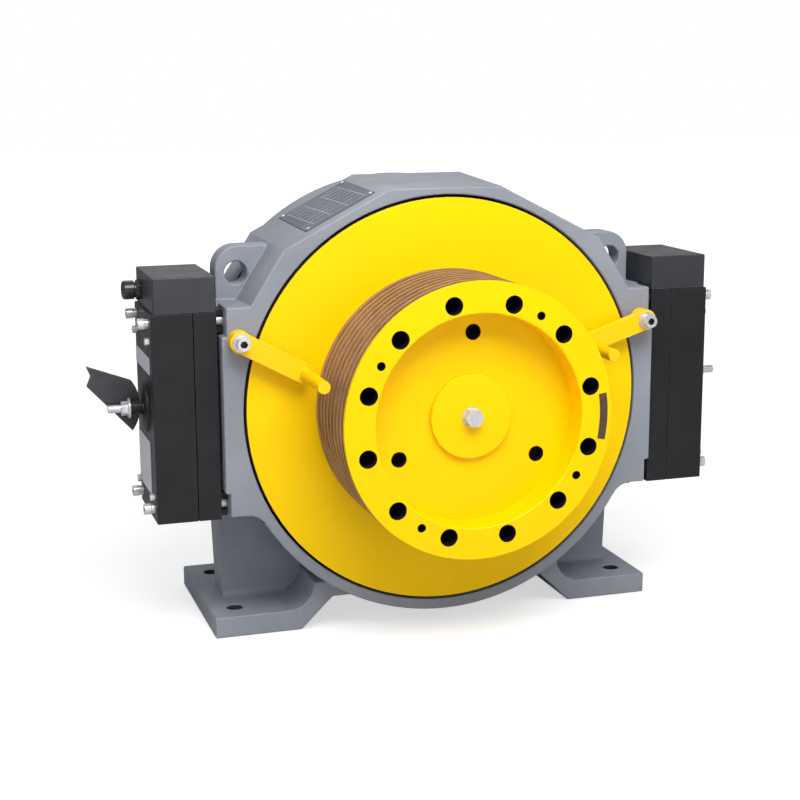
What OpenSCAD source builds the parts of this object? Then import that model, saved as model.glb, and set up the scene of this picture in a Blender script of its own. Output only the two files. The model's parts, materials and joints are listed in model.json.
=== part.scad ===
// Gearless elevator traction machine with an outer rotor and two block brakes.
// The origin is the centre of the foot bolt pattern on the mounting plane.
// +X points to the right brake, -Y to the traction sheave and +Z up.

/* [Rotor and housing] */
// Diameter of the rotor disc, which is also the brake drum
rotor_d = 606; // [500:2:730]
// Radial gap between the rotor and the housing bore
rotor_gap = 4; // [2:0.5:8]
// Depth of the machined housing body behind the rotor face
body_depth = 192; // [185:1:240]
// Depth of the round skirt behind the housing body
skirt_depth = 93; // [70:1:130]
// Wall of the housing ring below the brakes
ring_wall = 16; // [10:1:24]
// Wall of the housing under its flat top
top_wall = 10; // [8:1:20]
// Distance from the foot plane up to the lowest point of the ring
ground_gap = 22; // [5:1:80]
// Distance from the rotor face back to the centre of the feet
foot_setback = 171; // [150:1:200]

/* [Feet] */
// Length of each foot along the shaft
foot_len = 271; // [240:1:330]
// Width of each foot across the shaft
foot_w = 132; // [110:1:160]
// Thickness of each foot
foot_t = 32; // [24:1:44]
// Diameter of the foot bolt holes
foot_hole_d = 24; // [18:0.5:30]
// Distance between the two holes of one foot
foot_hole_pitch = 182; // [150:1:220]

/* [Traction sheave] */
// Outer diameter of the sheave
sheave_d = 400; // [330:2:490]
// Width of the sheave, from its face to the rotor disc
sheave_w = 150; // [120:1:200]
// Thickness of the sheave rim
rim_t = 46.5; // [40:0.5:56]
// Number of ropes
rope_count = 8; // [3:1:9]
// Diameter of one rope
rope_d = 10; // [8:0.5:12]
// Distance between neighbouring rope grooves
groove_pitch = 17.4; // [13:0.1:20]
// Number of bolts that hold the sheave on the rotor
sheave_bolt_count = 12; // [6:1:12]
// Diameter of the bolt wells in the sheave rim
bolt_well_d = 26; // [24:0.5:32]
// Thread diameter of the sheave bolts
sheave_bolt_d = 16; // [12:1:20]

/* [Shaft and bearings] */
// Diameter of the front bearing seat on the shaft
front_shaft_d = 100; // [85:1:120]
// Outer diameter of the front bearing
front_bearing_d = 180; // [170:1:215]
// Width of the front bearing
front_bearing_w = 34; // [28:1:42]
// Diameter of the rear bearing seat on the shaft
rear_shaft_d = 90; // [75:1:98]
// Outer diameter of the rear bearing
rear_bearing_d = 160; // [145:1:168]
// Width of the rear bearing
rear_bearing_w = 30; // [26:1:36]

/* [Block brakes] */
// Height of the brake blocks
brake_h = 310; // [260:1:340]
// Width of the brake blocks along the shaft
brake_w = 149; // [125:1:170]
// Thickness of the moving armature plate
armature_t = 33.5; // [28:0.5:42]
// Thickness of the magnet yoke
yoke_t = 60; // [50:1:75]
// Travel of the armature when the brake is released
brake_air_gap = 0.5; // [0.4:0.05:0.8]
// Thickness of the brake lining
lining_t = 8; // [6:0.5:12]
// Thread diameter of the brake mounting screws
brake_screw_d = 10; // [8:1:12]
// Height of the junction cover on each brake
cover_h = 51; // [40:1:60]

/* [Rope guards] */
// Diameter of the guard rods
guard_rod_d = 18.5; // [14:0.5:22]
// Distance from the sheave rim to the centre of a guard rod
guard_offset = 28; // [22:1:36]
// Width of the guard arms
guard_arm_w = 30; // [24:1:36]
// Length of the guard rods along the shaft
guard_rod_len = 109; // [80:1:140]

/* [Hidden] */

// Finishes
CAST_GREY = [0.60, 0.63, 0.67];
MACHINE_YELLOW = [1.0, 0.85, 0.0];
BRAKE_BLACK = [0.17, 0.17, 0.19];
BARE_STEEL = [0.72, 0.72, 0.72];
RUST_BROWN = [0.42, 0.30, 0.24];
COPPER = [0.72, 0.40, 0.20];
LAMINATION = [0.45, 0.46, 0.48];
LABEL_GREY = [0.80, 0.82, 0.84];
PLASTIC_BLACK = [0.10, 0.10, 0.11];
LINING_BROWN = [0.30, 0.22, 0.16];

// Fits and clearances
seat_gap = 0.05;        // radial gap of pieces pressed or clamped on each other
run_gap = 0.3;          // gap between pieces that move past each other
slot_gap = 0.5;         // gap around keys, coils and bars in their slots
past = 1;               // how far a cut runs past a face
round_fn = 120;         // facets on large round preview faces
hole_fn = 32;           // facets on small round preview faces

// Main planes along the shaft (y) and heights (z)
face_y = -foot_setback;
body_back_y = face_y + body_depth;
skirt_back_y = body_back_y + skirt_depth;
back_wall_t = 20;
wall_y = body_back_y + 4 - back_wall_t;
wall_back_y = wall_y + back_wall_t;

// Radii of the rotor and the housing
rotor_r = rotor_d / 2;
bore_r = rotor_r + rotor_gap;
ring_r = bore_r + ring_wall;
shaft_h = ring_r + ground_gap;
skirt_r = bore_r + 14;
skirt_wall = 14;
skirt_in_r = skirt_r - skirt_wall;

// Outline of the housing: a flat top, two slanted facets, and a pad for each brake
facet_a = 27.2;
facet_b = 57.6;
top_dist = bore_r + top_wall;
facet_a_dist = bore_r + top_wall + 4;
facet_b_dist = bore_r + top_wall + 15;
crown_draft = 9;        // how far the crown grows outwards from front to back
crown_tilt = atan(crown_draft / body_depth);
pad_x = ring_r + 13;
pad_top = brake_h / 2 + 2;
pad_bottom = -(brake_h / 2 - 5);
pad_fillet = 30;

function meet(a, da, b, db) = [
    (da * cos(b) - db * cos(a)) / sin(a - b),
    (db * sin(a) - da * sin(b)) / sin(a - b)
];
top_corner = meet(0, top_dist, facet_a, facet_a_dist);
facet_corner = meet(facet_a, facet_a_dist, facet_b, facet_b_dist);
pad_fillet_z = pad_bottom - pad_fillet;
pad_fillet_x = sqrt(pow(ring_r + pad_fillet, 2) - pow(pad_fillet_z, 2));

// Lifting ears
ear_y0 = face_y + 80;
ear_y1 = ear_y0 + 40;
ear_x = pad_x - 8;
ear_round = 35;
ear_top = facet_corner[1];
ear_hole_d = 34;
ear_hole_x = ear_x - 31;
ear_hole_z = ear_top - 40;

// Feet and legs
foot_out_x = pad_x + 14;
foot_in_x = foot_out_x - foot_w;
foot_hole_x = foot_out_x - 38;
foot_fillet = 40;
fillet_bite = 0.5;
foot_fillet_x = foot_in_x + 20;
web_x = foot_in_x - 48;
web_z = 48;
web_in_x = ring_r * 0.37;
web_end_y = 100;
leg_x = pad_x - 16;
leg_top_x = pad_x - 10;
leg_y0 = face_y + 132;
leg_y1 = leg_y0 + 58;
leg_fillet = 10;
leg_base_fillet = 11;

// Rotor drum, magnets and stator
drum_plate_t = 22;
drum_wall = 20;
drum_in_r = rotor_r - drum_wall;
drum_back_y = wall_y - 9;
magnet_t = 7;
magnet_count = 36;
air_gap = 2;
stator_r = drum_in_r - magnet_t - air_gap;
stator_w = 59;
seat_r = stator_r - stator_w;
seat_wall = 15;
stator_y0 = face_y + 50;
stator_y1 = stator_y0 + 100;
winding_over = 14;
slot_count = 36;
slot_w = 12;
slot_depth = 38;

// Shaft, hubs and bearings
collar_r = front_bearing_d / 2 - 28;
hub_r = front_bearing_d / 2;
sheave_seat_r = front_shaft_d / 2 - 2;
hub_back_y = face_y + 37;
sleeve_y0 = hub_back_y + 4;
front_bearing_y0 = sleeve_y0 + 12;
front_bearing_y1 = front_bearing_y0 + front_bearing_w;
rear_bearing_y1 = wall_back_y;
rear_bearing_y0 = rear_bearing_y1 - rear_bearing_w;
sleeve_wall = 18;
sleeve_r = front_bearing_d / 2 + sleeve_wall;
boss_back_y = wall_back_y + 20;
nut_r = rear_shaft_d / 2 + 8;
nut_y0 = rear_bearing_y1 + 1;
nut_y1 = nut_y0 + 14;
stub_r = 12;
stub_end_y = boss_back_y + 45;
rear_cover_t = 10;

// Sheave
sheave_r = sheave_d / 2;
sheave_face_y = face_y - sheave_w;
rim_in_r = sheave_r - rim_t;
recess_depth = 47;
web_face_y = sheave_face_y + recess_depth;
web_t = 22;
bolt_circle_r = sheave_r - 29;
groove_first_y = face_y - 17;
groove_r = rope_d * 0.53;
groove_sink = 2;
undercut_w = rope_d / 2;
undercut_depth = 12;
well_depth = sheave_w - 45;
bolt_phase = 13.8;
jack_phase = 58.8;
jack_hole_d = 12.4;
web_hole_d = 23;
web_hole_r = rim_in_r - 32.5;
end_plate_r = 61;
end_plate_t = 8;
end_bolt_d = 16;
strip_r = sheave_r - 13;
strip_w = 12;
strip_span = 20.6;
strip_t = 0.6;

// Brakes, given for the right side and mirrored for the left
brake_y0 = face_y + 14;
brake_y1 = brake_y0 + brake_w;
brake_cy = (brake_y0 + brake_y1) / 2;
armature_x0 = pad_x + 4;
armature_x1 = armature_x0 + armature_t;
yoke_x0 = armature_x1 + brake_air_gap;
yoke_x1 = yoke_x0 + yoke_t;
yoke_top = brake_h / 2 - 5;
screw_dy = brake_w / 2 - 20;
screw_dz = brake_h / 2 - 20;
notch_reach = 20;
notch_x = pad_x - 7;
sleeve_d = brake_screw_d + 5;
sleeve_hole_d = sleeve_d + 2 * run_gap + 0.4;
shoe_h = 144;
shoe_w = brake_w - 30;
window_gap = 3;
lining_r = rotor_r + run_gap;
coil_dz = (brake_h - 22) / 4;
coil_r = min(brake_w / 2 - 20.5, coil_dz - 18);
coil_core_r = coil_r - 26;
coil_depth = 34;
spring_r = 11;
spring_depth = 38;
release_up = 4;
boss_r = 37;
boss_t = 4;
stud_r = 6;
stud_end_x = yoke_x1 + 55;
nut_seat_x = yoke_x1 + 23;
cover_x1 = yoke_x1 - 4;
cover_gap = 0.5;
cover_z0 = yoke_top + cover_gap;
gland_r = 14;
gland_y = brake_y1 - 38;
gland_z = cover_z0 + cover_h / 2 - 4;

// Release lever of the left brake
lever_pivot_x = yoke_x1 + 14.3;
release_washer_r = 15;
lever_y0 = brake_cy + release_washer_r + 1;
lever_t = 6;
lever_half = 38;
lever_pin_r = 4;
cam_x = yoke_x1 + boss_t + 1.2;
cam_r = 64;

// Rope guards
guard_bolt_x = pad_x - 23;
guard_bolt_z = pad_top - 47;
guard_boss_r = 16;
guard_arm_t = 9;
guard_boss_len = 24;
left_rod_angle = 165;
right_rod_angle = 20;
guard_r = sheave_r + guard_offset;

// ---- Placement helpers ----

// Puts a piece on the shaft axis with its own +Z towards the rear
module on_axis(y) {
    translate([0, y, shaft_h]) rotate([-90, 0, 0]) children();
}

// Puts a piece at a polar place around the shaft, its own +Z towards the rear
module around_axis(y, r, angle) {
    translate([r * cos(angle), y, shaft_h + r * sin(angle)]) rotate([-90, 0, 0]) children();
}

// A ring on the shaft axis between two planes
module ring(y0, y1, r_out, r_in = 0) {
    on_axis(y0) difference() {
        cylinder(h = y1 - y0, r = r_out, $fn = round_fn);
        if (r_in > 0) translate([0, 0, -past]) cylinder(h = y1 - y0 + 2 * past, r = r_in, $fn = round_fn);
    }
}

// A drawing in x and height above the shaft, extruded from y0 to y1
module slab(y0, y1) {
    translate([0, y1, shaft_h]) rotate([90, 0, 0]) linear_extrude(y1 - y0) children();
}

// A round bar along X from x0 to x1, at a height above the shaft
module bar_x(x0, x1, y, z, r, fn = hole_fn) {
    translate([x0, y, shaft_h + z]) rotate([0, 90, 0]) cylinder(h = x1 - x0, r = r, $fn = fn);
}

// A box given by its two corners, with heights above the shaft
module box(x0, x1, y0, y1, z0, z1) {
    translate([x0, y0, shaft_h + z0]) cube([x1 - x0, y1 - y0, z1 - z0]);
}

module left_side() { mirror([1, 0, 0]) children(); }

module both_sides() {
    children();
    mirror([1, 0, 0]) children();
}

// The four corner places of a brake block
module brake_corners() {
    for (sy = [-1, 1], sz = [-1, 1]) translate([0, brake_cy + sy * screw_dy, sz * screw_dz]) children();
}

// A hexagon head or nut with its own +Z as axis
module hex(af, h) { cylinder(h = h, r = af / sqrt(3), $fn = 6); }

// A socket head with its hexagon recess, head towards its own -Z
module socket_head(d, h) {
    translate([0, 0, -h]) difference() {
        cylinder(h = h, r = d * 0.8, $fn = hole_fn);
        translate([0, 0, -past]) hex(d * 0.8, h * 0.6 + past);
    }
}

// ---- Housing ----

// Flat top and two slanted facets, all moved outwards by the given amount
module crown_outline(grow) {
    a = meet(0, top_dist + grow, facet_a, facet_a_dist + grow);
    b = meet(facet_a, facet_a_dist + grow, facet_b, facet_b_dist + grow);
    c = (facet_b_dist + grow - cos(facet_b) * pad_top) / sin(facet_b);
    half = [a, b, [c, pad_top], [c, pad_top - 10]];
    other = [for (i = [len(half) - 1 : -1 : 0]) [-half[i][0], half[i][1]]];
    polygon(concat(half, other));
}

// The crown is drafted, so that it leaves the mould
module crown() {
    hull() {
        slab(face_y, face_y + 1) crown_outline(0);
        slab(body_back_y - 1, body_back_y) crown_outline(crown_draft);
    }
}

module pad_fillet_outline() {
    along = ring_r / (ring_r + pad_fillet) - 0.02;
    difference() {
        polygon([
            [ring_r * 0.8, pad_bottom + past], [pad_fillet_x, pad_bottom + past],
            [pad_fillet_x, pad_fillet_z], [pad_fillet_x * along, pad_fillet_z * along]
        ]);
        translate([pad_fillet_x, pad_fillet_z - fillet_bite]) circle(r = pad_fillet, $fn = 96);
    }
}

module housing_outline() {
    translate([-pad_x, pad_bottom]) square([2 * pad_x, pad_top - pad_bottom]);
    intersection() {
        circle(r = ring_r, $fn = 180);
        translate([-ring_r, -ring_r]) square([2 * ring_r, ring_r + pad_bottom + past]);
    }
    pad_fillet_outline();
    mirror([1, 0]) pad_fillet_outline();
}

module ear_outline() {
    x0 = facet_corner[0];
    z0 = pad_top - 5;
    translate([x0, z0]) square([ear_x - ear_round - x0, ear_top - z0]);
    translate([x0, z0]) square([ear_x - x0, ear_top - ear_round - z0]);
    translate([ear_x - ear_round, ear_top - ear_round]) circle(r = ear_round, $fn = 64);
}

module ear() {
    difference() {
        slab(ear_y0, ear_y1) ear_outline();
        translate([ear_hole_x, ear_y0 - past, shaft_h + ear_hole_z]) rotate([-90, 0, 0])
            cylinder(h = ear_y1 - ear_y0 + 2 * past, d = ear_hole_d, $fn = 48);
    }
}

module foot_profile() {
    inner_top_x = foot_in_x - (foot_in_x - web_x) * foot_t / web_z;
    polygon([[foot_in_x, 0], [foot_out_x, 0], [foot_out_x, foot_t], [inner_top_x, foot_t]]);
}

module foot_web_profile() {
    difference() {
        polygon([
            [foot_in_x, 0], [foot_fillet_x, 0], [foot_fillet_x, foot_t + foot_fillet],
            [web_in_x, foot_t + foot_fillet], [web_in_x, web_z], [web_x, web_z]
        ]);
        translate([foot_fillet_x, foot_t + foot_fillet - fillet_bite]) circle(r = foot_fillet, $fn = 96);
    }
}

module foot() {
    y0 = -foot_len / 2;
    translate([0, foot_len / 2, 0]) rotate([90, 0, 0]) linear_extrude(foot_len) foot_profile();
    translate([0, web_end_y, 0]) rotate([90, 0, 0]) linear_extrude(web_end_y - y0) foot_web_profile();
}

module leg_outline() {
    difference() {
        polygon([
            [leg_x, foot_t - shaft_h - 4], [leg_top_x, pad_bottom - leg_fillet],
            [pad_x - 1, pad_bottom - leg_fillet], [pad_x - 1, pad_bottom + 2],
            [ring_r * 0.7, pad_bottom + 2], [ring_r * 0.45, -ring_r * 0.85],
            [web_x, foot_t - shaft_h + 12], [foot_in_x, foot_t - shaft_h - 4]
        ]);
        translate([leg_top_x + leg_fillet - fillet_bite, pad_bottom - leg_fillet + fillet_bite])
            circle(r = leg_fillet, $fn = 64);
    }
}

// Rounded corner between the front of a leg and the top of its foot
module leg_base() {
    r = leg_base_fillet;
    floor_z = foot_t - shaft_h;
    difference() {
        box(foot_in_x, leg_x, leg_y0 - r, leg_y0 + past, floor_z - past, floor_z + r);
        bar_x(foot_in_x - past, leg_x + past, leg_y0 - r, floor_z + r, r, 64);
    }
}

module housing_shell() {
    difference() {
        union() {
            slab(face_y, body_back_y) housing_outline();
            crown();
            ring(body_back_y - 4, skirt_back_y, skirt_r);
            both_sides() {
                foot();
                slab(leg_y0, leg_y1) leg_outline();
                leg_base();
                ear();
            }
        }
        ring(face_y - past, wall_y, bore_r);
        ring(wall_back_y, skirt_back_y + past, skirt_in_r);
        both_sides() brake_seat_cuts();
    }
}

// Shoe window, corner notches and screw holes of one brake pad
module brake_seat_cuts() {
    box(rotor_r - 10, pad_x + past, brake_cy - shoe_w / 2 - window_gap, brake_cy + shoe_w / 2 + window_gap,
        -shoe_h / 2 - window_gap, shoe_h / 2 + window_gap);
    for (z = [[screw_dz - notch_reach, pad_top + past], [pad_bottom - 4, notch_reach - screw_dz]]) {
        box(notch_x, pad_x + past, face_y - past, brake_cy - screw_dy + notch_reach, z[0], z[1]);
        box(notch_x, pad_x + past, brake_cy + screw_dy - notch_reach, body_back_y + past, z[0], z[1]);
    }
    brake_corners() bar_x(notch_x - 24, pad_x + past, 0, 0, brake_screw_d / 2 + seat_gap);
}

module stiffening_ribs() {
    rib_t = 12;
    rib_end_y = boss_back_y - 1;
    for (angle = [0, 45, 135, 180, 225, 270, 315])
        translate([0, wall_back_y - 2, shaft_h]) rotate([0, -angle, 0])
            translate([sleeve_r - 6, 0, -rib_t / 2])
                cube([skirt_in_r - sleeve_r + 10, rib_end_y - wall_back_y, rib_t]);
}

// Opening in the skirt through which the motor cables leave to the right
module cable_window() {
    y = (box_y0 + box_y1) / 2;
    x0 = skirt_in_r * 0.4;
    box(x0, skirt_r + past, y - gland_r, y + gland_r, box_bottom + 30, box_top - 30);
    bar_x(x0, skirt_r + past, y, box_bottom + 30, gland_r);
    bar_x(x0, skirt_r + past, y, box_top - 30, gland_r);
}

module housing() {
    color(CAST_GREY) difference() {
        union() {
            housing_shell();
            ring(stator_y0 - 8, wall_y + 2, seat_r - seat_gap, seat_r - seat_wall);
            ring(sleeve_y0, boss_back_y, sleeve_r);
            stiffening_ribs();
        }
        ring(sleeve_y0 - past, front_bearing_y1, front_bearing_d / 2);
        ring(front_bearing_y1 - past, rear_bearing_y0 + past, rear_bearing_d / 2 - 3);
        ring(rear_bearing_y0, boss_back_y + past, rear_bearing_d / 2);
        both_sides() {
            for (sy = [-1, 1]) translate([foot_hole_x, sy * foot_hole_pitch / 2, -past])
                cylinder(h = foot_t + 2 * past, d = foot_hole_d, $fn = 48);
            translate([guard_bolt_x, face_y - past, shaft_h + guard_bolt_z]) rotate([-90, 0, 0])
                cylinder(h = 26, r = 6 + seat_gap, $fn = hole_fn);
        }
        cable_window();
        for (i = [0 : 5]) around_axis(boss_back_y - 18, rear_cover_screw_r, 30 + 60 * i)
            cylinder(h = 18 + past, r = 4 + seat_gap, $fn = hole_fn);
    }
}

// ---- Stator ----

module stator_core() {
    color(LAMINATION) difference() {
        ring(stator_y0, stator_y1, stator_r, seat_r);
        for (i = [0 : slot_count - 1]) on_axis(stator_y0 - past) rotate(360 / slot_count * i)
            translate([stator_r - slot_depth, -slot_w / 2, 0])
                cube([slot_depth + 5, slot_w, stator_y1 - stator_y0 + 2 * past]);
    }
}

module stator_windings() {
    bar_w = slot_w - 2 * slot_gap;
    bar_r0 = stator_r - slot_depth + slot_gap;
    bar_h = slot_depth - 4;
    color(COPPER) union() {
        ring(stator_y0 - winding_over, stator_y0 - slot_gap, bar_r0 + bar_h, bar_r0 - 4);
        ring(stator_y1 + slot_gap, stator_y1 + winding_over, bar_r0 + bar_h, bar_r0 - 4);
        for (i = [0 : slot_count - 1]) on_axis(stator_y0 - 2) rotate(360 / slot_count * i)
            translate([bar_r0, -bar_w / 2, 0]) cube([bar_h - 3, bar_w, stator_y1 - stator_y0 + 4]);
    }
}

// ---- Bearings ----

// Ball track radius and ball size of a bearing from its bore and outer diameter
function track_r(bore, outer) = (bore + outer) / 4;
function ball_r(bore, outer) = (outer - bore) * 0.13;

module bearing_outer(y0, w, bore, outer) {
    land = track_r(bore, outer) + ball_r(bore, outer) * 0.55;
    on_axis(y0) rotate_extrude($fn = round_fn) difference() {
        translate([land, 0]) square([outer / 2 - seat_gap - land, w]);
        translate([track_r(bore, outer), w / 2]) circle(r = ball_r(bore, outer) + run_gap, $fn = 48);
    }
}

module bearing_inner(y0, w, bore, outer) {
    land = track_r(bore, outer) - ball_r(bore, outer) * 0.55;
    on_axis(y0) rotate_extrude($fn = round_fn) difference() {
        translate([bore / 2 + seat_gap, 0]) square([land - bore / 2 - seat_gap, w]);
        translate([track_r(bore, outer), w / 2]) circle(r = ball_r(bore, outer) + seat_gap, $fn = 48);
    }
}

module bearing_balls(y0, w, bore, outer, count) {
    for (i = [0 : count - 1]) around_axis(y0 + w / 2, track_r(bore, outer), 360 / count * i)
        sphere(r = ball_r(bore, outer), $fn = hole_fn);
}

module front_bearing_outer_ring() {
    color(BARE_STEEL) bearing_outer(front_bearing_y0, front_bearing_w, front_shaft_d, front_bearing_d);
}
module front_bearing_inner_ring() {
    color(BARE_STEEL) bearing_inner(front_bearing_y0, front_bearing_w, front_shaft_d, front_bearing_d);
}
module front_bearing_balls() {
    color(BARE_STEEL) bearing_balls(front_bearing_y0, front_bearing_w, front_shaft_d, front_bearing_d, 14);
}
module rear_bearing_outer_ring() {
    color(BARE_STEEL) bearing_outer(rear_bearing_y0, rear_bearing_w, rear_shaft_d, rear_bearing_d);
}
module rear_bearing_inner_ring() {
    color(BARE_STEEL) bearing_inner(rear_bearing_y0, rear_bearing_w, rear_shaft_d, rear_bearing_d);
}
module rear_bearing_balls() {
    color(BARE_STEEL) bearing_balls(rear_bearing_y0, rear_bearing_w, rear_shaft_d, rear_bearing_d, 13);
}

module shaft_seal() {
    color(PLASTIC_BLACK)
        ring(sleeve_y0, front_bearing_y0 - 2, front_bearing_d / 2 - seat_gap, collar_r + run_gap);
}

// ---- Rear cover and encoder ----

rear_cover_screw_r = rear_bearing_d / 2 + 12;
encoder_y0 = boss_back_y + rear_cover_t + 6;

module rear_bearing_cover() {
    color(CAST_GREY) difference() {
        union() {
            ring(boss_back_y, boss_back_y + rear_cover_t, sleeve_r);
            ring(rear_bearing_y1 + seat_gap, boss_back_y + past,
                rear_bearing_d / 2 - seat_gap, rear_bearing_d / 2 - 14);
        }
        ring(boss_back_y - past, boss_back_y + rear_cover_t + past, stub_r + 6);
        for (i = [0 : 2]) around_axis(boss_back_y, encoder_cover_r + 6, 90 + 120 * i)
            cylinder(h = rear_cover_t + past, r = 2.5 + seat_gap, $fn = hole_fn);
        for (i = [0 : 5]) around_axis(boss_back_y - past, rear_cover_screw_r, 30 + 60 * i)
            cylinder(h = rear_cover_t + 2 * past, r = 4.5, $fn = hole_fn);
    }
}

module rear_cover_screws() {
    color(BARE_STEEL) for (i = [0 : 5]) {
        around_axis(boss_back_y - 16, rear_cover_screw_r, 30 + 60 * i)
            cylinder(h = 16 + rear_cover_t + past, r = 4, $fn = hole_fn);
        around_axis(boss_back_y + rear_cover_t, rear_cover_screw_r, 30 + 60 * i) hex(13, 5.5);
    }
}

module encoder() {
    color(PLASTIC_BLACK) difference() {
        union() {
            ring(boss_back_y + rear_cover_t, encoder_y0, 34);
            ring(encoder_y0 - past, encoder_y0 + 32, 29);
        }
        ring(boss_back_y, encoder_y0 + 33, stub_r + run_gap);
    }
}

encoder_cover_r = 70;
encoder_cover_y1 = skirt_back_y - 6;
encoder_flange_y = boss_back_y + rear_cover_t;

module encoder_cover() {
    wall = 3;
    color(BRAKE_BLACK) difference() {
        union() {
            ring(encoder_flange_y, encoder_cover_y1, encoder_cover_r);
            ring(encoder_flange_y, encoder_flange_y + 4, encoder_cover_r + 12);
        }
        ring(encoder_flange_y - past, encoder_cover_y1 - wall, encoder_cover_r - wall);
        for (i = [0 : 2]) around_axis(encoder_flange_y - past, encoder_cover_r + 6, 90 + 120 * i)
            cylinder(h = 6, r = 2.7, $fn = hole_fn);
    }
}

// ---- Terminal box on the rear wall ----

box_w = 150;
box_h = 108;
box_y0 = wall_back_y;
box_y1 = skirt_back_y - 22;
box_wall = 3;
box_top = sqrt(pow(skirt_in_r - 8, 2) - pow(box_w / 2, 2));
box_bottom = box_top - box_h;

module terminal_box() {
    color(CAST_GREY) difference() {
        box(-box_w / 2, box_w / 2, box_y0, box_y1, box_bottom, box_top);
        difference() {
            box(-box_w / 2 + box_wall, box_w / 2 - box_wall, box_y0 + box_wall, box_y1 + past,
                box_bottom + box_wall, box_top - box_wall);
            lid_screw_places() translate([-7, -7, past - 30]) cube([14, 14, 30 - past]);
        }
        lid_screw_places() translate([0, 0, -18]) cylinder(h = 18 + past, r = 2.5 + seat_gap, $fn = hole_fn);
        for (z = [box_bottom + 30, box_top - 30])
            bar_x(box_w / 2 - 10, box_w / 2 + 10, (box_y0 + box_y1) / 2, z, 10);
    }
}

module terminal_box_lid() {
    color(CAST_GREY) difference() {
        box(-box_w / 2 - 2, box_w / 2 + 2, box_y1, box_y1 + 4, box_bottom - 2, box_top + 2);
        lid_screw_places() translate([0, 0, -past]) cylinder(h = 8, r = 2.7, $fn = hole_fn);
    }
}

module lid_screw_places() {
    for (x = [-box_w / 2 + 9, box_w / 2 - 9], z = [box_bottom + 9, box_top - 9])
        translate([x, box_y1, shaft_h + z]) rotate([-90, 0, 0]) children();
}

// One small pan-head screw, its head seated at its own origin
module small_screw() {
    translate([0, 0, -12]) cylinder(h = 12 + past, r = 2.5, $fn = hole_fn);
    cylinder(h = 3, r = 4.5, $fn = hole_fn);
}

module small_cover_screws() {
    color(BARE_STEEL) {
        lid_screw_places() translate([0, 0, 4 + seat_gap]) small_screw();
        for (i = [0 : 2])
            around_axis(encoder_flange_y + 4 + seat_gap, encoder_cover_r + 6, 90 + 120 * i) small_screw();
    }
}

// Cable gland along its own +Z, with its thread below the seat
module gland(r, thread_r) {
    translate([0, 0, -6]) cylinder(h = 7, r = thread_r, $fn = hole_fn);
    hex(r * 1.85, 7);
    translate([0, 0, 6.5]) cylinder(h = 5, r = r * 0.84, $fn = hole_fn);
    translate([0, 0, 10]) difference() {
        cylinder(h = 17, r = r, $fn = 48);
        translate([0, 0, 8]) cylinder(h = 10, r = r * 0.5, $fn = hole_fn);
    }
}

module terminal_box_glands() {
    color(PLASTIC_BLACK) for (z = [box_bottom + 30, box_top - 30])
        translate([box_w / 2, (box_y0 + box_y1) / 2, shaft_h + z])
            rotate([0, 90, 0]) gland(gland_r, 10 - seat_gap);
}

module terminal_block() {
    color(LINING_BROWN) difference() {
        box(-48, 48, box_y0 + box_wall, box_y0 + 25, box_bottom + 38, box_bottom + 66);
        for (i = [0 : 5])
            box(15 * i - 43, 15 * i - 32, box_y0 + 17, box_y0 + 26, box_bottom + 42, box_bottom + 62);
    }
}

// ---- Nameplate on the left facet ----

plate_l = 117;
plate_d = 152;
plate_t = 1.2;
plate_y0 = face_y + 25;

// Places a piece on the left facet: own X down the slope, Y along the shaft, Z outwards
module on_left_facet(s) {
    at = top_corner + s * (facet_corner - top_corner);
    translate([-at[0], face_y, shaft_h + at[1]]) rotate([0, -facet_a, 0])
        rotate([crown_tilt, 0, 0]) translate([0, -face_y, 0]) children();
}

module nameplate() {
    color(LAMINATION) on_left_facet(0.42) difference() {
        translate([-plate_l / 2, plate_y0, seat_gap]) cube([plate_l, plate_d, plate_t]);
        rivet_places() cylinder(h = 8, r = 1.7, center = true, $fn = hole_fn);
    }
}

module rivet_places() {
    for (x = [-1, 1], y = [6, plate_d - 6]) translate([x * (plate_l / 2 - 6), plate_y0 + y, 0]) children();
}

module nameplate_rivets() {
    color(BARE_STEEL) on_left_facet(0.42) rivet_places() {
        translate([0, 0, seat_gap]) cylinder(h = plate_t + 0.5, r = 1.6, $fn = hole_fn);
        translate([0, 0, plate_t + seat_gap]) cylinder(h = 1.6, r = 3.2, $fn = hole_fn);
    }
}

// ---- Block brake, drawn for the right side ----

module brake_yoke() {
    color(BRAKE_BLACK) difference() {
        union() {
            box(yoke_x0, yoke_x1, brake_y0, brake_y1, -brake_h / 2, yoke_top);
            bar_x(yoke_x1 - past, yoke_x1 + boss_t, brake_cy, release_up, boss_r, 96);
        }
        for (z = [-coil_dz, coil_dz]) {
            difference() {
                bar_x(yoke_x0 - past, yoke_x0 + coil_depth, brake_cy, z, coil_r, 72);
                bar_x(yoke_x0 - 2 * past, yoke_x0 + coil_depth + past, brake_cy, z, coil_core_r, 72);
            }
        }
        spring_places() bar_x(yoke_x0 - past, yoke_x0 + spring_depth, 0, 0, spring_r + 1);
        brake_corners() bar_x(yoke_x0 - past, yoke_x1 + past, 0, 0, brake_screw_d / 2 + seat_gap);
        bar_x(yoke_x0 - past, yoke_x1 + boss_t + past, brake_cy, release_up, stud_r + run_gap);
    }
}

module brake_coils() {
    color(COPPER) for (z = [-coil_dz, coil_dz]) difference() {
        bar_x(yoke_x0 + 4, yoke_x0 + coil_depth - slot_gap, brake_cy, z, coil_r - slot_gap, 72);
        bar_x(yoke_x0, yoke_x0 + coil_depth + past, brake_cy, z, coil_core_r + slot_gap, 72);
    }
}

// Springs sit inboard of the four screws and on both sides of the release stud
module spring_places() {
    for (sy = [-1, 1]) {
        for (sz = [-1, 1]) translate([0, brake_cy + sy * (screw_dy - 26.5), sz * (screw_dz - 1)]) children();
        translate([0, brake_cy + sy * (screw_dy - 14.5), 0]) children();
    }
}

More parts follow.
